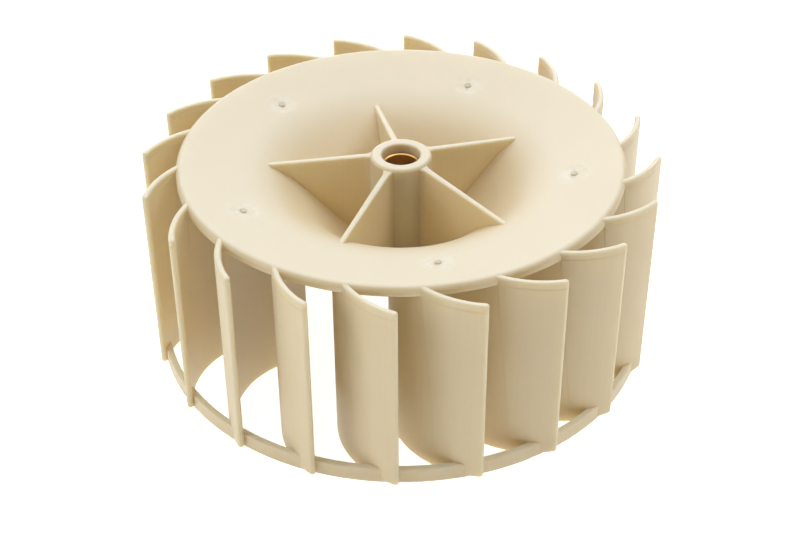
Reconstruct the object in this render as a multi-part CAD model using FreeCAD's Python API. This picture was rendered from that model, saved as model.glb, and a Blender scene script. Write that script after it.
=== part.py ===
import FreeCAD, Part
import math
import os

from FreeCAD import Vector

# Millimetres. The axis of the wheel is Z, the wheel stands on its ring, and the base is at Z = 0.

# Whole wheel
wheel_height = 77.3
axis = Vector(0, 0, 1)

# Dished disk
rim_radius = 83.7
rim_land = 2.2
rim_round = 2.0
rim_edge_height = 3.6
rim_bead_width = 5.0
rim_foot_round = 0.5
plate_thickness = 3.0
outer_cone_angle = math.radians(12.7)
inner_cone_angle = math.radians(43.8)
dish_break_radius = 46.8
dish_bend_radius = 50.0

# Metal bush that is moulded into the hub
bush_bore_radius = 6.35
bush_wall = 2.15
bush_length = 40.0
bush_depth = 3.9
bush_chamfer = 0.4
bush_groove_width = 6.0
bush_groove_depth = 0.7

# Hub, measured from the bush that it holds
hub_wall = 3.0
hub_below_bush = 8.1
hub_edge_round = 1.3
hub_root_round = 3.0
mouth_gap = 0.9
mouth_round = 0.8
lip_gap = 0.6

# Webs between the hub and the dish
web_count = 5
web_first_angle = 29.0
web_past_break = 4.2
web_top_drop = 1.0
web_hub_thickness = 2.6
web_end_thickness = 2.0
web_flare = 4.2
web_edge_round = 0.6

# Blades, which start radially at the root and leave the tip circle at the exit angle
blade_count = 20
blade_first_angle = 28.69
blade_tip_radius = 97.15
blade_root_radius = 55.2
blade_exit_angle = math.radians(23.3)
blade_thickness = 2.4
blade_edge_round = 0.9
blade_foot_gap = 0.6
blade_top_drop = 0.3

# Ring that ties the tips of the blades
ring_inset = 2.3
ring_wall = 2.6
ring_height = 6.1
ring_edge_round = 0.5

# Marks of the moulding gates on the disk
gate_count = 5
gate_first_angle = 65.0
gate_place_radius = 64.6
gate_dimple_radius = 5.3
gate_dimple_depth = 0.35
gate_nub_radius = 1.0
gate_nub_height = 0.5

# Places worked out from the sizes above
outer_slope = math.tan(outer_cone_angle)
inner_slope = math.tan(inner_cone_angle)
land_radius = rim_radius - rim_land
dish_break_z = wheel_height - (land_radius - dish_break_radius) * outer_slope
bush_radius = bush_bore_radius + bush_wall
bush_top_z = wheel_height - bush_depth
bush_bottom_z = bush_top_z - bush_length
groove_top_z = (bush_top_z + bush_bottom_z + bush_groove_width) / 2
groove_bottom_z = groove_top_z - bush_groove_width
groove_radius = bush_radius - bush_groove_depth
hub_radius = bush_radius + hub_wall
hub_bottom_z = bush_bottom_z - hub_below_bush
mouth_radius = bush_bore_radius + mouth_gap
lip_radius = bush_bore_radius + lip_gap
web_end_radius = dish_break_radius + web_past_break
ring_outer_radius = blade_tip_radius - ring_inset

# The arc of a blade, from the triangle of the wheel's axis, the arc's centre and the tip
tip_centre_radius = blade_tip_radius - blade_thickness / 2
blade_arc_radius = tip_centre_radius ** 2 - blade_root_radius ** 2
blade_arc_radius /= 2 * tip_centre_radius * math.cos(blade_exit_angle)
blade_arc_offset = math.hypot(blade_root_radius, blade_arc_radius)


def polar(radius, angle):
    """Level vector of a length at an angle in radians from +X."""
    return Vector(radius * math.cos(angle), radius * math.sin(angle), 0)


def rounded_face(corners):
    """Face in the XZ plane from corners given as (x, z, rounding radius)."""
    points = [Vector(x, 0, z) for x, z, radius in corners]
    spans = []
    for i, (x, z, radius) in enumerate(corners):
        here = points[i]
        back = (points[i - 1] - here).normalize()
        ahead = (points[(i + 1) % len(points)] - here).normalize()
        half = back.getAngle(ahead) / 2
        if radius == 0:
            spans.append((here, None, here))
            continue
        reach = radius / math.tan(half)
        middle = (back + ahead).normalize()
        crown = here + middle * (radius / math.sin(half) - radius)
        spans.append((here + back * reach, crown, here + ahead * reach))
    edges = []
    for i, (start, crown, end) in enumerate(spans):
        if crown is not None:
            edges.append(Part.Arc(start, crown, end).toShape())
        following = spans[(i + 1) % len(spans)][0]
        edges.append(Part.LineSegment(end, following).toShape())
    return Part.Face(Part.Wire(edges))


def turned(corners):
    """Solid of revolution about the wheel's axis; its seam lies where no blade crosses it."""
    face = rounded_face(corners)
    face.rotate(Vector(0, 0, 0), axis, blade_first_angle)
    return face.revolve(Vector(0, 0, 0), axis, 360)


def around(shape, count, first_angle):
    """Copies of a shape, evenly spaced about the wheel's axis."""
    copies = []
    for i in range(count):
        copy = shape.copy()
        copy.rotate(Vector(0, 0, 0), axis, first_angle + i * 360 / count)
        copies.append(copy)
    return copies


def dish_top(radius):
    """Height of the disk's upper surface at a radius between the hub and the rim land."""
    half_turn = (inner_cone_angle - outer_cone_angle) / 2
    reach = dish_bend_radius * math.tan(half_turn)
    bend_start = dish_break_radius + reach * math.cos(outer_cone_angle)
    bend_end = dish_break_radius - reach * math.cos(inner_cone_angle)
    if radius >= bend_start:
        return dish_break_z + (radius - dish_break_radius) * outer_slope
    if radius <= bend_end:
        return dish_break_z + (radius - dish_break_radius) * inner_slope
    centre_radius = bend_start + dish_bend_radius * math.sin(outer_cone_angle)
    centre_z = dish_break_z + reach * math.sin(outer_cone_angle)
    centre_z -= dish_bend_radius * math.cos(outer_cone_angle)
    return centre_z + math.sqrt(dish_bend_radius ** 2 - (radius - centre_radius) ** 2)


def disk_and_hub():
    """Dished disk and hub in one turn, with the seat that holds the bush."""
    outer_drop = plate_thickness / math.cos(outer_cone_angle)
    inner_drop = plate_thickness / math.cos(inner_cone_angle)
    hub_to_break = dish_break_radius - hub_radius
    top_root_z = dish_break_z - hub_to_break * inner_slope
    under_root_z = top_root_z - inner_drop
    under_break_radius = dish_break_radius + (inner_drop - outer_drop) / (inner_slope - outer_slope)
    under_break_z = dish_break_z + (under_break_radius - dish_break_radius) * outer_slope - outer_drop
    bead_radius = rim_radius - rim_bead_width
    bead_z = dish_break_z + (bead_radius - dish_break_radius) * outer_slope - outer_drop
    return turned([
        (mouth_radius, wheel_height, mouth_round),
        (hub_radius, wheel_height, hub_edge_round),
        (hub_radius, top_root_z, hub_root_round),
        (dish_break_radius, dish_break_z, dish_bend_radius),
        (land_radius, wheel_height, 0),
        (rim_radius, wheel_height, rim_round),
        (rim_radius, wheel_height - rim_edge_height, rim_foot_round),
        (bead_radius, bead_z, 0),
        (under_break_radius, under_break_z, dish_bend_radius - plate_thickness),
        (hub_radius, under_root_z, hub_root_round),
        (hub_radius, hub_bottom_z, hub_edge_round),
        (lip_radius, hub_bottom_z, 0),
        (lip_radius, bush_bottom_z, 0),
        (bush_radius, bush_bottom_z, 0),
        (bush_radius, groove_bottom_z, 0),
        (groove_radius, groove_bottom_z, 0),
        (groove_radius, groove_top_z, 0),
        (bush_radius, groove_top_z, 0),
        (bush_radius, bush_top_z, 0),
        (lip_radius, bush_top_z, 0),
    ])


def shaft_bush():
    """Turned metal bush with a groove that locks it in the hub."""
    return turned([
        (bush_bore_radius + bush_chamfer, bush_top_z, 0),
        (bush_radius, bush_top_z, 0),
        (bush_radius, groove_top_z, 0),
        (groove_radius, groove_top_z, 0),
        (groove_radius, groove_bottom_z, 0),
        (bush_radius, groove_bottom_z, 0),
        (bush_radius, bush_bottom_z, 0),
        (bush_bore_radius + bush_chamfer, bush_bottom_z, 0),
        (bush_bore_radius, bush_bottom_z + bush_chamfer, 0),
        (bush_bore_radius, bush_top_z - bush_chamfer, 0),
    ])


def web():
    """One web along +X: a flared plan cut to the slope of its top edge and sunk into the plate."""
    start = bush_radius + web_edge_round
    hub_half = web_hub_thickness / 2
    end_half = web_end_thickness / 2
    flare_half = hub_half + web_flare + web_edge_round
    flare_start = math.sqrt(hub_radius ** 2 - flare_half ** 2)
    sunk = plate_thickness / 2
    plan = rounded_face([
        (start, -flare_half, 0),
        (flare_start, -flare_half, 0),
        (flare_start, -hub_half, web_flare),
        (web_end_radius, -end_half, 0),
        (web_end_radius, end_half, 0),
        (flare_start, hub_half, web_flare),
        (flare_start, flare_half, 0),
        (start, flare_half, 0),
    ])
    plan.rotate(Vector(0, 0, 0), Vector(1, 0, 0), 90)
    top_start_z = wheel_height - web_top_drop
    top_end_z = dish_top(web_end_radius)
    slope = (top_start_z - top_end_z) / (web_end_radius - hub_radius)
    side = rounded_face([
        (start, dish_top(start) - sunk, 0),
        (start, top_start_z + slope * (hub_radius - start), 0),
        (web_end_radius, top_end_z, 0),
        (web_end_radius, top_end_z - sunk, 0),
    ])
    side.translate(Vector(0, -hub_radius, 0))
    tall = plan.extrude(axis * wheel_height)
    solid = tall.common(side.extrude(Vector(0, 2 * hub_radius, 0)))
    top = max(solid.Faces, key=lambda face: face.CenterOfMass.z)
    edges = [edge for edge in top.Edges if edge.CenterOfMass.x > start + web_edge_round]
    return solid.makeFillet(web_edge_round, edges)


def blade():
    """One blade: an arc in plan with round noses, straight up from the foot of the ring to the rim."""
    half = blade_thickness / 2
    length = wheel_height - blade_foot_gap - blade_top_drop

    def angle_at(radius):
        """Angle about the arc's centre, from straight outwards to the point at a radius."""
        cosine = radius ** 2 - blade_arc_offset ** 2 - blade_arc_radius ** 2
        return math.acos(cosine / (2 * blade_arc_offset * blade_arc_radius))

    def on_arc(radius, angle):
        return Vector(blade_arc_offset, 0, blade_foot_gap) + polar(radius, -angle)

    tip = angle_at(tip_centre_radius)
    root = angle_at(blade_root_radius + half)
    middle = (tip + root) / 2
    outer = blade_arc_radius + half
    inner = blade_arc_radius - half
    tip_nose = on_arc(blade_arc_radius, tip) + polar(half, math.pi / 2 - tip)
    root_nose = on_arc(blade_arc_radius, root) + polar(half, -math.pi / 2 - root)
    edges = [
        Part.Arc(on_arc(outer, tip), on_arc(outer, middle), on_arc(outer, root)).toShape(),
        Part.Arc(on_arc(outer, root), root_nose, on_arc(inner, root)).toShape(),
        Part.Arc(on_arc(inner, root), on_arc(inner, middle), on_arc(inner, tip)).toShape(),
        Part.Arc(on_arc(inner, tip), tip_nose, on_arc(outer, tip)).toShape(),
    ]
    solid = Part.Face(Part.Wire(edges)).extrude(axis * length)
    rims = [edge for edge in solid.Edges if edge.BoundBox.ZLength < half]
    return solid.makeFillet(blade_edge_round, rims)


def dish_space():
    """Space above the middle of the plate, inside the rim land, that the blades leave free."""
    sunk = plate_thickness / 2
    return turned([
        (0, dish_break_z - dish_break_radius * inner_slope - sunk, 0),
        (dish_break_radius, dish_break_z - sunk, dish_bend_radius),
        (land_radius, wheel_height - sunk, 0),
        (land_radius, wheel_height + sunk, 0),
        (0, wheel_height + sunk, 0),
    ])


def ring():
    """Ring of rectangular section at the foot of the blades."""
    inner_radius = ring_outer_radius - ring_wall
    return turned([
        (inner_radius, 0, ring_edge_round),
        (ring_outer_radius, 0, ring_edge_round),
        (ring_outer_radius, ring_height, ring_edge_round),
        (inner_radius, ring_height, ring_edge_round),
    ])


def gate_dimple():
    """Ball that leaves the shallow dimple round one gate mark."""
    ball_radius = (gate_dimple_radius ** 2 + gate_dimple_depth ** 2) / (2 * gate_dimple_depth)
    upwards = Vector(-math.sin(outer_cone_angle), 0, math.cos(outer_cone_angle))
    place = Vector(gate_place_radius, 0, dish_top(gate_place_radius))
    return Part.makeSphere(ball_radius, place + upwards * (ball_radius - gate_dimple_depth))


def gate_nub():
    """Small broken stub that the gate leaves in its dimple."""
    upwards = Vector(-math.sin(outer_cone_angle), 0, math.cos(outer_cone_angle))
    place = Vector(gate_place_radius, 0, dish_top(gate_place_radius))
    foot = place - upwards * (plate_thickness / 2)
    return Part.makeCylinder(gate_nub_radius, plate_thickness / 2 + gate_nub_height - gate_dimple_depth,
                             foot, upwards)


def blower_wheel():
    """The whole moulding: disk, hub, webs, blades and ring in one solid."""
    disk = disk_and_hub().cut(around(gate_dimple(), gate_count, gate_first_angle))
    vane = blade().cut(dish_space())
    pieces = [ring()]
    pieces += around(vane, blade_count, blade_first_angle)
    pieces += around(web(), web_count, web_first_angle)
    pieces += around(gate_nub(), gate_count, gate_first_angle)
    return disk.multiFuse(pieces).removeSplitter()


def write(name, shape):
    """Check one piece and write it to its STEP file."""
    solid = shape.Solids[0]
    box = solid.BoundBox
    print(name, "solids", len(shape.Solids), "valid", solid.isValid(), "volume", round(solid.Volume, 1),
          "size", round(box.XLength, 2), round(box.YLength, 2), round(box.ZLength, 2))
    solid.exportStep(os.path.join("parts", name + ".step"))


os.makedirs("parts", exist_ok=True)
write("blower_wheel", blower_wheel())
write("shaft_bush", shaft_bush())
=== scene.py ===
# %% [markdown]
# # A dryer blower wheel in natural polypropylene
#
# The wheel is one injection moulding: a dished disk with a hub and five webs, and under the disk a
# cage of curved blades with a ring round their feet. A brass bush sits in the hub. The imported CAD
# model gives the shapes, in metres, with Z as the wheel's axis. This script adds what a drawing
# leaves out: the finish of each surface, the marks that the mould left, the light and the camera.

# %% Load the frame
import math

import bmesh
import bpy
from mathutils import Matrix, Vector


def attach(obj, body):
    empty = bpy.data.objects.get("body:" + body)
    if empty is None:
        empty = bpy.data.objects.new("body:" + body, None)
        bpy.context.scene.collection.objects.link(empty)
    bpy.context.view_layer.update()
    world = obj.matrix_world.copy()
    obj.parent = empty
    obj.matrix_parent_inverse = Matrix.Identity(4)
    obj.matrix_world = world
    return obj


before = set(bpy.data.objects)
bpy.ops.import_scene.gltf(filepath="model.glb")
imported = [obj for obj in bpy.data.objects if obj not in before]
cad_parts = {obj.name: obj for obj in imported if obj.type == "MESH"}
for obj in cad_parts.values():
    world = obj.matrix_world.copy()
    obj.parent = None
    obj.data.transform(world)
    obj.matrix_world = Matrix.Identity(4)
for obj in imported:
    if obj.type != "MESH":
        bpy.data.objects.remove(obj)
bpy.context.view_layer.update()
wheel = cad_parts["blower_wheel"]
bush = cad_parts["shaft_bush"]
print("nodes:", sorted(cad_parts))

# %% [markdown]
# ## Sizes that the finish needs
#
# A mark on a moulding lies at a definite place on the part, so its pattern is driven by the same
# radii and heights as the solid. They are written once here, in metres, and are used by the
# materials and by the torn stubs of the gates.

# %% Sizes
MM = 0.001
TOP_Z = 77.3 * MM
RIM_RADIUS = 83.7 * MM
RIM_FOOT_Z = 73.7 * MM
RING_TOP_Z = 6.1 * MM
LAND_RADIUS = 81.5 * MM
CONE_ANGLE = math.radians(12.7)
GATE_COUNT = 5
GATE_STEP = 2 * math.pi / GATE_COUNT
GATE_FIRST_ANGLE = math.radians(65)
GATE_RADIUS = 64.6 * MM
GATE_Z = TOP_Z - (LAND_RADIUS - GATE_RADIUS) * math.tan(CONE_ANGLE)
print("rim radius", round(RIM_RADIUS / MM, 1), "mm, gates at a height of", round(GATE_Z / MM, 1), "mm")

# %% [markdown]
# ## Helpers for materials
#
# Colours are picked on a screen as sRGB hex values, but the renderer adds light in linear values,
# so one function turns the first into the second. Another adds one node of any kind with its
# settings and links. It takes another node as an input, so that a pattern reads from its source
# outwards without naming every wire.


# %% Colour and node helpers
def linear(hex_colour):
    """Linear RGBA of an sRGB hex colour such as 'E6DBC0'."""
    channels = [int(hex_colour[i:i + 2], 16) / 255 for i in (0, 2, 4)]
    return [c / 12.92 if c <= 0.04045 else ((c + 0.055) / 1.055) ** 2.4 for c in channels] + [1.0]


def add(tree, kind, inputs=(), **settings):
    """One shader node: settings are its own fields, inputs fill its sockets in order or by name.

    An input is a plain value, an output, or another node, whose first output in use is taken.
    """
    node = tree.nodes.new("ShaderNode" + kind)
    for name, value in settings.items():
        setattr(node, name, value)
    sockets = inputs if isinstance(inputs, dict) else dict(enumerate(inputs))
    for name, value in sockets.items():
        if isinstance(value, bpy.types.Node):
            value = next(output for output in value.outputs if output.enabled)
        if isinstance(value, bpy.types.NodeSocket):
            tree.links.new(value, node.inputs[name])
        else:
            node.inputs[name].default_value = value
    return node


def new_material(name):
    """Empty node material and its node tree."""
    material = bpy.data.materials.new(name)
    material.use_nodes = True
    material.node_tree.nodes.clear()
    return material, material.node_tree


print("white is", linear("FFFFFF"))

# %% [markdown]
# ## Where a point lies on the wheel
#
# Every mark is tied to a place, so the first nodes turn the point being shaded into its height, its
# distance from the axis and its distance from the nearest gate. The five gates are one pattern: the
# angle round the axis is wrapped into one fifth of a turn, and the distance is measured there.


# %% Places on the part
def part_place(tree):
    """Object coordinates of the shaded point, its height and its distance from the axis."""
    place = add(tree, "TexCoord").outputs["Object"]
    height = add(tree, "SeparateXYZ", [place]).outputs["Z"]
    level = add(tree, "VectorMath", [place, (1, 1, 0)], operation="MULTIPLY")
    radius = add(tree, "VectorMath", [level], operation="LENGTH").outputs["Value"]
    return place, height, radius


def gate_distance(tree, place, radius):
    """Level distance from the nearest gate."""
    axes = add(tree, "SeparateXYZ", [place]).outputs
    turn = add(tree, "Math", [axes["Y"], axes["X"]], operation="ARCTAN2")
    turn = add(tree, "Math", [turn, GATE_FIRST_ANGLE], operation="SUBTRACT")
    turn = add(tree, "Math", [turn, GATE_STEP / 2, -GATE_STEP / 2], operation="WRAP")
    outward = add(tree, "Math", [radius, add(tree, "Math", [turn], operation="COSINE")], operation="MULTIPLY")
    across = add(tree, "Math", [radius, add(tree, "Math", [turn], operation="SINE")], operation="MULTIPLY")
    along = add(tree, "Math", [outward, GATE_RADIUS], operation="SUBTRACT")
    offset = add(tree, "CombineXYZ", [along, across])
    return add(tree, "VectorMath", [offset], operation="LENGTH").outputs["Value"]


def facing_up(tree, slopes):
    """0 where a face looks upwards less than the first slope, and 1 where more than the second."""
    normal = add(tree, "NewGeometry").outputs["Normal"]
    upwards = add(tree, "SeparateXYZ", [normal]).outputs["Z"]
    return add(tree, "MapRange", [upwards, *slopes], interpolation_type="SMOOTHSTEP")


print("gates every", 360 / GATE_COUNT, "degrees")

# %% [markdown]
# ## The lines of the mould
#
# Two parts of the mould meet on every blade. One part forms the disk and the inner share of the
# blades and draws upwards; the other forms the tips and draws downwards. They seal on a slanted
# face from the foot of the rim to the ring, so each blade has a line that leans outwards as it goes
# down, and outside it the blade stands proud by a few tenths of a millimetre. The step is sharpest
# just below the rim and is worn lower down. A second line runs level round the tips at the height of
# the rim's foot. Both could be cut into the solid, but they are only a few tenths of a millimetre
# high, so they are patterns that tilt the surface.

# %% Witness and parting lines
SEAL_SHIFT = 4.9 * MM
SEAL_LEAN = SEAL_SHIFT / (RIM_FOOT_Z - RING_TOP_Z)
WITNESS_WIDTH = 0.5 * MM
WITNESS_FADE = 20 * MM
WORN_STEP = 0.35
RIM_FADE = 1 * MM
TIP_START = RIM_RADIUS + 2 * MM
TIP_FULL = RIM_RADIUS + 4 * MM


def witness_step(tree, height, radius):
    """0 inside the slanted sealing face and 1 outside it, below the rim's foot."""
    drop = add(tree, "Math", [RIM_FOOT_Z, height], operation="SUBTRACT")
    shift = add(tree, "Math", [drop, SEAL_LEAN], operation="MULTIPLY")
    seal = add(tree, "Math", [shift, RIM_RADIUS], operation="ADD")
    past = add(tree, "Math", [radius, seal], operation="SUBTRACT")
    outside = add(tree, "MapRange", [past, -WITNESS_WIDTH / 2, WITNESS_WIDTH / 2],
                  interpolation_type="SMOOTHSTEP")
    worn = add(tree, "MapRange", [height, RIM_FOOT_Z - WITNESS_FADE, RIM_FOOT_Z, WORN_STEP, 1.0],
               interpolation_type="SMOOTHSTEP")
    below_rim = add(tree, "MapRange", [height, RIM_FOOT_Z + RIM_FADE, RIM_FOOT_Z],
                    interpolation_type="SMOOTHSTEP")
    step = add(tree, "Math", [outside, worn], operation="MULTIPLY")
    return add(tree, "Math", [step, below_rim], operation="MULTIPLY")


def parting_line(tree, height, radius):
    """1 on the level line round the tips of the blades."""
    away = add(tree, "Math", [height, RIM_FOOT_Z], operation="SUBTRACT")
    away = add(tree, "Math", [away], operation="ABSOLUTE")
    line = add(tree, "MapRange", [away, WITNESS_WIDTH / 2, 0.0], interpolation_type="SMOOTHSTEP")
    on_tips = add(tree, "MapRange", [radius, TIP_START, TIP_FULL], interpolation_type="SMOOTHSTEP")
    return add(tree, "Math", [line, on_tips], operation="MULTIPLY")


print("the sealing face leans out by", round(math.degrees(math.atan(SEAL_LEAN)), 1), "degrees")

# %% [markdown]
# ## The wheel's plastic
#
# Blower wheels are moulded in natural polypropylene with a little filler. It is cream and
# translucent, and has a dull satin gloss. Light goes some millimetres into it, so a blade or a web
# that is lit from behind glows a little, and what bounces between two blades comes back warmer each
# time, which gives the tan depths of the cage.
#
# It could be one flat cream with some gloss. The real surface has more to it: broad clouds where
# the melt flowed, a fine grain from the spark-eroded mould, and faint upright lines where the blade
# slots of the mould were polished along their length. Level faces are made paler by a painted sheen,
# and a painted highlight lays a broken pale ring round each gate. All of these are patterns on object
# coordinates, in real millimetres. Real grain and real polishing lines are too fine to show at this
# distance, so both are drawn coarser than life.

# %% Colours and patterns of the plastic
CREAM = linear("E3D6B7")
CREAM_WARM = linear("DCCBA6")
# Painted sheen: a paler cream mixed onto level faces, for the glare of the lamps above.
CREAM_PAINTED_SHEEN = linear("E8DEC7")
CREAM_DARK = linear("D2BC90")
# Painted highlight: the pale cream of the broken ring round each gate.
PAINTED_HIGHLIGHT_CREAM = linear("EDE6D7")
CLOUD_SIZE = 45 * MM
CLOUD_DETAIL = 3.0
GRAIN_SIZE = 0.7 * MM
POLISH_WIDTH = 1.2 * MM
POLISH_STRETCH = 0.03
STREAK_STRENGTH = 0.06
WALL_SLOPES = (0.25, 0.85)
# Upward slopes over which the painted sheen on level faces fades in.
PAINTED_SHEEN_SLOPES = (0.80, 0.98)
# Reach of the painted highlight round each gate.
HALO_INNER = 2.4 * MM
HALO_OUTER = 8.5 * MM
HALO_PATCH = 2.5 * MM
HALO_LOWEST = GATE_Z - 3 * MM
HALO_FULL = GATE_Z - 2 * MM
PATTERN_EDGES = (0.35, 0.65)


def polish_lines(tree, place):
    """Fine upright streaks on the walls."""
    stretched = add(tree, "VectorMath", [place, (1, 1, POLISH_STRETCH)], operation="MULTIPLY")
    streaks = add(tree, "TexNoise", {"Vector": stretched, "Scale": 1 / POLISH_WIDTH})
    on_walls = add(tree, "Math", [1.0, facing_up(tree, WALL_SLOPES)], operation="SUBTRACT")
    return add(tree, "Math", [streaks, on_walls], operation="MULTIPLY")


def painted_gate_highlight(tree, place, height, radius):
    """Painted highlight: a broken pale ring round each gate, on the disk only."""
    patches = add(tree, "TexNoise", {"Vector": place, "Scale": 1 / HALO_PATCH})
    halo = add(tree, "MapRange", [gate_distance(tree, place, radius), HALO_OUTER, HALO_INNER],
               interpolation_type="SMOOTHSTEP")
    on_disk = add(tree, "MapRange", [height, HALO_LOWEST, HALO_FULL], interpolation_type="SMOOTHSTEP")
    broken = add(tree, "MapRange", [patches, *PATTERN_EDGES], interpolation_type="SMOOTHSTEP")
    painted_highlight = add(tree, "Math", [halo, on_disk], operation="MULTIPLY")
    return add(tree, "Math", [painted_highlight, broken], operation="MULTIPLY")


def plastic_colour(tree, place, height, radius, clouds):
    """Cream with broad clouds and faint streaks, a painted sheen on level faces, a painted highlight round
    the gates.
    """
    streaks = add(tree, "MapRange", [polish_lines(tree, place), *PATTERN_EDGES],
                  interpolation_type="SMOOTHSTEP")
    faint_streaks = add(tree, "Math", [streaks, STREAK_STRENGTH], operation="MULTIPLY")
    colour = add(tree, "Mix", {0: clouds, 6: CREAM_WARM, 7: CREAM}, data_type="RGBA")
    colour = add(tree, "Mix", {0: faint_streaks, 6: colour, 7: CREAM_DARK}, data_type="RGBA")
    # Painted sheen: level faces turn paler, for the glare of the lamps above.
    colour = add(tree, "Mix", {0: facing_up(tree, PAINTED_SHEEN_SLOPES), 6: colour, 7: CREAM_PAINTED_SHEEN}, data_type="RGBA")
    # Painted highlight: a pale ring round each gate.
    painted_highlight = painted_gate_highlight(tree, place, height, radius)
    return add(tree, "Mix", {0: painted_highlight, 6: colour, 7: PAINTED_HIGHLIGHT_CREAM}, data_type="RGBA")


print("clouds of", round(CLOUD_SIZE / MM), "mm, polishing lines of", round(POLISH_WIDTH / MM, 1), "mm")

# %% [markdown]
# ## The relief of the plastic and its shader
#
# The patterns are laid over each other as bumps, each with a strength and a depth, from the finest
# grain to the lines of the mould. The shader then lets all the diffuse light scatter inside the
# plastic. Red light goes deepest, which keeps thin edges warm. The gloss is that of a plain polymer:
# an index of refraction of 1.49, and a roughness that changes slowly with the clouds of the melt.

# %% Natural polypropylene, injection moulded
GRAIN_BUMP = (0.12, 0.10 * MM)
POLISH_BUMP = (0.10, 0.12 * MM)
WAVE_BUMP = (0.25, 0.60 * MM)
WITNESS_BUMP = (0.80, 0.30 * MM)
PARTING_BUMP = (0.20, 0.10 * MM)
POLYPROPYLENE_IOR = 1.49
SATIN_ROUGHNESS = (0.40, 0.50)
CLOUD_RANGE = (0.3, 0.7)
SCATTER_SHARE = 1.0
SCATTER_DEPTH = 5.0 * MM
SCATTER_BY_COLOUR = (1.0, 0.9, 0.75)


def plastic_relief(tree, place, height, radius, clouds):
    """Grain, upright polishing lines, the slow waves of the melt and the lines of the mould."""
    grain = add(tree, "TexNoise", {"Vector": place, "Scale": 1 / GRAIN_SIZE})
    layers = (
        (grain, GRAIN_BUMP),
        (polish_lines(tree, place), POLISH_BUMP),
        (clouds, WAVE_BUMP),
        (witness_step(tree, height, radius), WITNESS_BUMP),
        (parting_line(tree, height, radius), PARTING_BUMP),
    )
    relief = None
    for pattern, (strength, depth) in layers:
        inputs = {"Height": pattern, "Strength": strength, "Distance": depth}
        if relief is not None:
            inputs["Normal"] = relief
        relief = add(tree, "Bump", inputs)
    return relief


def moulded_polypropylene():
    """Material of the wheel."""
    material, tree = new_material("natural_polypropylene_moulded")
    place, height, radius = part_place(tree)
    clouds = add(tree, "TexNoise", {"Vector": place, "Scale": 1 / CLOUD_SIZE, "Detail": CLOUD_DETAIL})
    shader = add(tree, "BsdfPrincipled", {
        "Base Color": plastic_colour(tree, place, height, radius, clouds),
        "Roughness": add(tree, "MapRange", [clouds, *CLOUD_RANGE, *SATIN_ROUGHNESS],
                         interpolation_type="SMOOTHSTEP"),
        "IOR": POLYPROPYLENE_IOR,
        "Subsurface Weight": SCATTER_SHARE,
        "Subsurface Radius": SCATTER_BY_COLOUR,
        "Subsurface Scale": SCATTER_DEPTH,
        "Normal": plastic_relief(tree, place, height, radius, clouds),
    })
    add(tree, "OutputMaterial", [shader])
    return material


wheel.data.materials.clear()
wheel.data.materials.append(moulded_polypropylene())
print("wheel:", wheel.data.materials[0].name)

# %% [markdown]
# ## The bush's brass
#
# A moulded-in bush is turned from brass bar, so it carries the fine rings of the tool, and its bore
# is reamed to the size of a motor shaft. Deep in the hub it sees little light and shows a dark
# amber; only its chamfer at the top catches a thin bright line. A metal's own colour, a middling
# roughness and a fine bump of rings give all of that. The rings of a real tool are closer together
# than the render can show, so they are drawn coarser than life.

# %% Brass, turned
BRASS = linear("DFB878")
BRASS_TARNISHED = linear("CDA05A")
TARNISH_SIZE = 3 * MM
TARNISH_DETAIL = 3.0
TURNED_ROUGHNESS = (0.38, 0.50)
TURNING_PITCH = 0.35 * MM
TURNING_BUMP = (0.2, 0.02 * MM)


def turned_brass():
    """Material of the bush."""
    material, tree = new_material("brass_turned")
    place, height = part_place(tree)[:2]
    along = add(tree, "Math", [height, 2 * math.pi / TURNING_PITCH], operation="MULTIPLY")
    rings = add(tree, "Math", [along], operation="SINE")
    tarnish = add(tree, "TexNoise", {"Vector": place, "Scale": 1 / TARNISH_SIZE, "Detail": TARNISH_DETAIL})
    strength, depth = TURNING_BUMP
    shader = add(tree, "BsdfPrincipled", {
        "Base Color": add(tree, "Mix", {0: tarnish, 6: BRASS, 7: BRASS_TARNISHED}, data_type="RGBA"),
        "Metallic": 1.0,
        "Roughness": add(tree, "MapRange", [tarnish, 0.0, 1.0, *TURNED_ROUGHNESS],
                         interpolation_type="SMOOTHSTEP"),
        "Normal": add(tree, "Bump", {"Height": rings, "Strength": strength, "Distance": depth}),
    })
    add(tree, "OutputMaterial", [shader])
    return material


bush.data.materials.clear()
bush.data.materials.append(turned_brass())
print("bush:", bush.data.materials[0].name)

# %% [markdown]
# ## The torn stubs of the gates
#
# The melt enters the mould through five small gates in the disk. When the part is pushed out, each
# gate tears off and leaves a ragged stub with a pit in its middle. It could be a bump, but a stub
# stands up and throws a small shadow, so it is modelled: a low plug whose top is narrowed, inset and
# pushed in.

# %% One torn stub
STUB_SIDES = 24
STUB_RADIUS = 1.55 * MM
STUB_TAPER = 0.85
STUB_LIP = 0.55 * MM
STUB_RISE = 0.35 * MM
STUB_SUNK = 0.9 * MM
PIT_DEPTH = 0.3 * MM
TOP_FACE_SLOPE = 0.9


def deselect():
    """Nothing selected, so that an operator acts only on what is added next."""
    bpy.ops.object.select_all(action="DESELECT")


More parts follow.
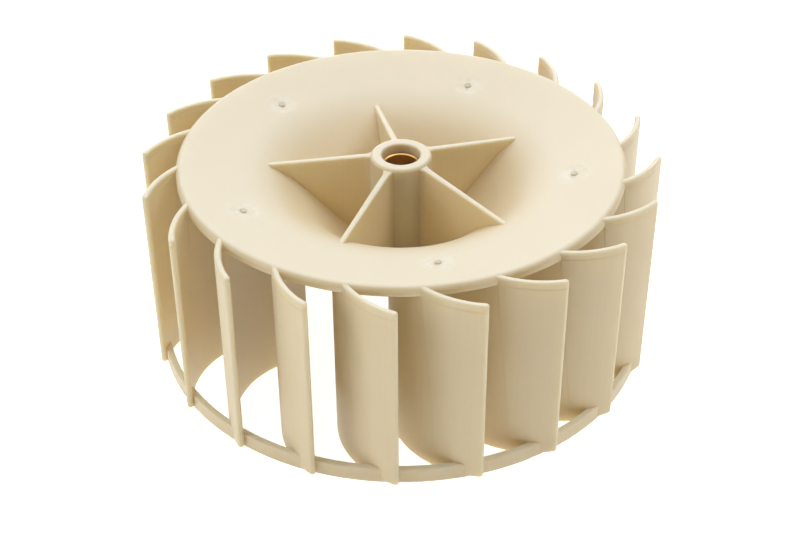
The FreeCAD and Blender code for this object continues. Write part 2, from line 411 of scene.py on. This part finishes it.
deselect()
bpy.ops.mesh.primitive_cylinder_add(vertices=STUB_SIDES, radius=STUB_RADIUS, depth=STUB_RISE + STUB_SUNK,
                                    location=(0, 0, (STUB_RISE - STUB_SUNK) / 2))
stub = bpy.context.object
bpy.ops.object.transform_apply(location=True)
bpy.ops.object.mode_set(mode="EDIT")
bpy.ops.mesh.select_mode(type="FACE")
bpy.ops.mesh.select_all(action="DESELECT")
mesh = bmesh.from_edit_mesh(stub.data)
for face in mesh.faces:
    face.select_set(face.normal.z > TOP_FACE_SLOPE)
bmesh.update_edit_mesh(stub.data)
bpy.ops.transform.resize(value=(STUB_TAPER, STUB_TAPER, 1))
bpy.ops.mesh.inset(thickness=STUB_LIP)
bpy.ops.mesh.poke()
bpy.ops.transform.translate(value=(0, 0, -PIT_DEPTH))
print("stub:", len(stub.data.polygons), "faces before its top is made uneven")

# %% [markdown]
# ## Its ragged top
#
# Torn plastic has no clean edge. The points of the top are moved a little, each by its own amount
# from a fixed seed, and a subdivision then rounds them as soft plastic would be.

# %% Ragged top of the stub
RAGGEDNESS = 0.16 * MM
RAGGED_SEED = 5
ROUNDING_STEPS = 2

bpy.ops.mesh.select_mode(type="VERT")
mesh = bmesh.from_edit_mesh(stub.data)
for vert in mesh.verts:
    vert.select_set(vert.co.z > -PIT_DEPTH)
bmesh.update_edit_mesh(stub.data)
bpy.ops.transform.vertex_random(offset=RAGGEDNESS, seed=RAGGED_SEED)
bpy.ops.mesh.select_all(action="SELECT")
bpy.ops.mesh.normals_make_consistent(inside=False)
bpy.ops.object.mode_set(mode="OBJECT")
bpy.ops.object.modifier_add(type="SUBSURF")
stub.modifiers[-1].levels = ROUNDING_STEPS
bpy.ops.object.modifier_apply(modifier=stub.modifiers[-1].name)
bpy.ops.object.shade_smooth()
stub_size = [round(side / MM, 2) for side in stub.dimensions]
print("stub:", len(stub.data.polygons), "faces,", stub_size, "mm")

# %% [markdown]
# ## Five stubs on the disk
#
# The stub is copied to the five gates and laid on the slope of the disk. Each copy is turned by a
# different amount, so that no two look alike. Their places are applied to their meshes before they
# are joined, because a finished piece stays at the origin.

# %% Copies on the disk
STUB_TURN = 1.3
lay_on_disk = Matrix.Translation((GATE_RADIUS, 0, GATE_Z)) @ Matrix.Rotation(-CONE_ANGLE, 4, "Y")
deselect()
for i in range(GATE_COUNT):
    copy = stub.copy()
    copy.data = stub.data.copy()
    bpy.context.scene.collection.objects.link(copy)
    round_axis = Matrix.Rotation(GATE_FIRST_ANGLE + GATE_STEP * i, 4, "Z")
    copy.matrix_world = round_axis @ lay_on_disk @ Matrix.Rotation(STUB_TURN * i, 4, "Z")
    copy.select_set(True)
    bpy.context.view_layer.objects.active = copy
bpy.ops.object.transform_apply(location=True, rotation=True, scale=True)
bpy.ops.object.join()
gate_stubs = bpy.context.object
gate_stubs.name = "gate_stubs"
bpy.data.objects.remove(stub)
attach(gate_stubs, "root")
print("gate stubs:", len(gate_stubs.data.polygons), "faces")

# %% [markdown]
# ## The torn plastic
#
# Where the plastic tore it is matt and uneven. It is the same polypropylene, but light is let only
# a little way into the stubs: they are small and sunk in the disk, and light that went deeper would
# be lost inside them and leave them grey.

# %% Natural polypropylene, torn
TORN = linear("E6CDA2")
TORN_PALE = linear("F0E2C4")
TORN_GRAIN = 0.5 * MM
TORN_DETAIL = 3.0
TORN_RANGE = (0.2, 0.8)
TORN_ROUGHNESS = (0.70, 0.90)
TORN_BUMP = (0.3, 0.2 * MM)
TORN_SCATTER_SHARE = 0.3
TORN_SCATTER_DEPTH = 0.2 * MM
TORN_SCATTER_BY_COLOUR = (1.0, 0.8, 0.55)


def torn_polypropylene():
    """Material of the stubs."""
    material, tree = new_material("natural_polypropylene_torn")
    place = add(tree, "TexCoord").outputs["Object"]
    ragged = add(tree, "TexNoise", {"Vector": place, "Scale": 1 / TORN_GRAIN, "Detail": TORN_DETAIL})
    strength, depth = TORN_BUMP
    shader = add(tree, "BsdfPrincipled", {
        "Base Color": add(tree, "Mix", {0: ragged, 6: TORN, 7: TORN_PALE}, data_type="RGBA"),
        "Roughness": add(tree, "MapRange", [ragged, *TORN_RANGE, *TORN_ROUGHNESS],
                         interpolation_type="SMOOTHSTEP"),
        "IOR": POLYPROPYLENE_IOR,
        "Subsurface Weight": TORN_SCATTER_SHARE,
        "Subsurface Radius": TORN_SCATTER_BY_COLOUR,
        "Subsurface Scale": TORN_SCATTER_DEPTH,
        "Normal": add(tree, "Bump", {"Height": ragged, "Strength": strength, "Distance": depth}),
    })
    add(tree, "OutputMaterial", [shader])
    return material


gate_stubs.data.materials.clear()
gate_stubs.data.materials.append(torn_polypropylene())
print("stubs:", gate_stubs.data.materials[0].name)

# %% [markdown]
# ## The light table
#
# A pale part is often photographed on a light table: a white acrylic sheet that is lit from beneath
# and curves up behind the part. It shows almost no shadow and sends light up through the cage, which
# is why the lower halves of the blades are the brighter ones. The sheet is a plane whose far edge
# is extruded upwards and whose crease is bevelled.

# %% Acrylic sheet
SHEET_SIZE = 6.0
SHEET_HEIGHT = 2.0
SHEET_BEND = 0.8
BEND_STEPS = 16

deselect()
bpy.ops.mesh.primitive_plane_add(size=SHEET_SIZE)
sheet = bpy.context.object
sheet.name = "acrylic_sheet"
bpy.ops.object.mode_set(mode="EDIT")
bpy.ops.mesh.select_mode(type="EDGE")
bpy.ops.mesh.select_all(action="DESELECT")
mesh = bmesh.from_edit_mesh(sheet.data)
for edge in mesh.edges:
    edge.select_set(all(v.co.y > SHEET_SIZE / 2 - MM for v in edge.verts))
bmesh.update_edit_mesh(sheet.data)
bpy.ops.mesh.extrude_region_move(TRANSFORM_OT_translate={"value": (0, 0, SHEET_HEIGHT)})
bpy.ops.mesh.select_all(action="DESELECT")
mesh = bmesh.from_edit_mesh(sheet.data)
for edge in mesh.edges:
    edge.select_set(all(abs(v.co.y - SHEET_SIZE / 2) < MM and v.co.z < MM for v in edge.verts))
bmesh.update_edit_mesh(sheet.data)
bpy.ops.mesh.bevel(offset=SHEET_BEND, segments=BEND_STEPS)
bpy.ops.object.mode_set(mode="OBJECT")
bpy.ops.object.shade_smooth()
print("acrylic sheet:", len(sheet.data.polygons), "faces")

# %% [markdown]
# ## The sheet's finish
#
# Opal acrylic scatters what falls on it and passes an even light from below, so its material is a
# diffuse surface plus a glow. The camera and the glosses see the sheet a little brighter than the
# light that it gives, so that it shows white and doesn't flood the wheel.

# %% White acrylic, lit from beneath
TABLE_GLOW = 0.60
SEEN_GLOW = 0.25
OPAL_SPECK = 1.5 * MM
OPAL_WHITES = (linear("F2F2F2"), linear("F5F5F5"))
WHITE = (1, 1, 1, 1)


def seen_directly(tree):
    """1 where the camera, a gloss or a glass looks at a surface, 0 for the light that it gives."""
    ray = add(tree, "LightPath").outputs
    reflected = add(tree, "Math", [ray["Is Glossy Ray"], ray["Is Transmission Ray"]], operation="MAXIMUM")
    return add(tree, "Math", [ray["Is Camera Ray"], reflected], operation="MAXIMUM")


def lit_acrylic():
    """Material of the sheet: it scatters the light from above and passes an even light from below."""
    material, tree = new_material("opal_acrylic_lit")
    place = add(tree, "TexCoord").outputs["Object"]
    specks = add(tree, "TexNoise", {"Vector": place, "Scale": 1 / OPAL_SPECK})
    white = add(tree, "Mix", {0: specks, 6: OPAL_WHITES[0], 7: OPAL_WHITES[1]}, data_type="RGBA")
    scatter = add(tree, "BsdfDiffuse", {"Color": white})
    glow = add(tree, "Math", [seen_directly(tree), SEEN_GLOW, TABLE_GLOW], operation="MULTIPLY_ADD")
    lit = add(tree, "Emission", {"Color": WHITE, "Strength": glow})
    add(tree, "OutputMaterial", [add(tree, "AddShader", [scatter, lit])])
    return material


sheet.data.materials.append(lit_acrylic())
print("sheet:", sheet.data.materials[0].name)

# %% [markdown]
# ## Lamps
#
# A large softbox hangs above the table and gives the disk its even light, and one on each side opens
# the gaps between the blades. A fourth stands far behind and puts a pale sheen on level faces. The
# fill is very weak, so the hub and the webs, which don't see the table, stay the darkest parts. The
# studio beyond the table is white to the eye and to a gloss, but gives only that weak fill.

# %% World and lamps
FILL_LIGHT = 0.02
WHEEL_MIDDLE = Vector((0, 0, TOP_Z / 2))

world = bpy.data.worlds.new("studio")
bpy.context.scene.world = world
world.use_nodes = True
studio = world.node_tree
studio.nodes.clear()
brightness = add(studio, "Math", [seen_directly(studio), FILL_LIGHT], operation="MAXIMUM")
add(studio, "OutputWorld", [add(studio, "Background", {"Color": WHITE, "Strength": brightness})])


def softbox(name, place, size, power):
    """Square area lamp at a place, turned towards the wheel."""
    lamp = bpy.data.lights.new(name, "AREA")
    lamp.shape = "SQUARE"
    lamp.size = size
    lamp.energy = power
    holder = bpy.data.objects.new(name, lamp)
    holder.location = place
    holder.rotation_euler = (WHEEL_MIDDLE - Vector(place)).to_track_quat("-Z", "Y").to_euler()
    bpy.context.scene.collection.objects.link(holder)


softbox("softbox_above", place=(-0.1, 0.15, 1.3), size=1.1, power=8.4)
softbox("softbox_behind", place=(0, 1.5, 1.25), size=1.2, power=9)
softbox("softbox_left", place=(-1.4, -0.4, 0.7), size=0.9, power=6.8)
softbox("softbox_right", place=(0.9, 0, 1.1), size=0.8, power=5.7)

# %% [markdown]
# ## Camera
#
# The camera's place was found by fitting a pinhole camera to the circles of the rim and the ring
# in the photograph. It looks down at 36.1 degrees with a lens of 68 mm on a 36 mm sensor, and is
# rolled by a third of a degree.

# %% Camera
ELEVATION = math.radians(36.105)
ROLL = math.radians(0.30)
DISTANCE = 565.47 * MM
SIDEWAYS = -0.57 * MM
UPWARDS = -42.01 * MM
LENS_MM = 68.19
SENSOR_MM = 36.0

right = Vector((1, 0, 0))
up = Vector((0, math.sin(ELEVATION), math.cos(ELEVATION)))
back = Vector((0, -math.cos(ELEVATION), math.sin(ELEVATION)))
eye = Vector((0, 0, TOP_Z)) + back * DISTANCE + right * SIDEWAYS + up * UPWARDS
rolled_right = right * math.cos(ROLL) - up * math.sin(ROLL)
rolled_up = right * math.sin(ROLL) + up * math.cos(ROLL)
turned = Matrix((rolled_right, rolled_up, back)).transposed().to_4x4()
camera = bpy.data.objects.new("camera", bpy.data.cameras.new("camera"))
camera.data.lens = LENS_MM
camera.data.sensor_width = SENSOR_MM
camera.matrix_world = Matrix.Translation(eye) @ turned
bpy.context.scene.collection.objects.link(camera)
bpy.context.scene.camera = camera
bpy.context.scene.view_settings.view_transform = "Standard"
print("camera at", [round(c / MM, 1) for c in eye], "mm")
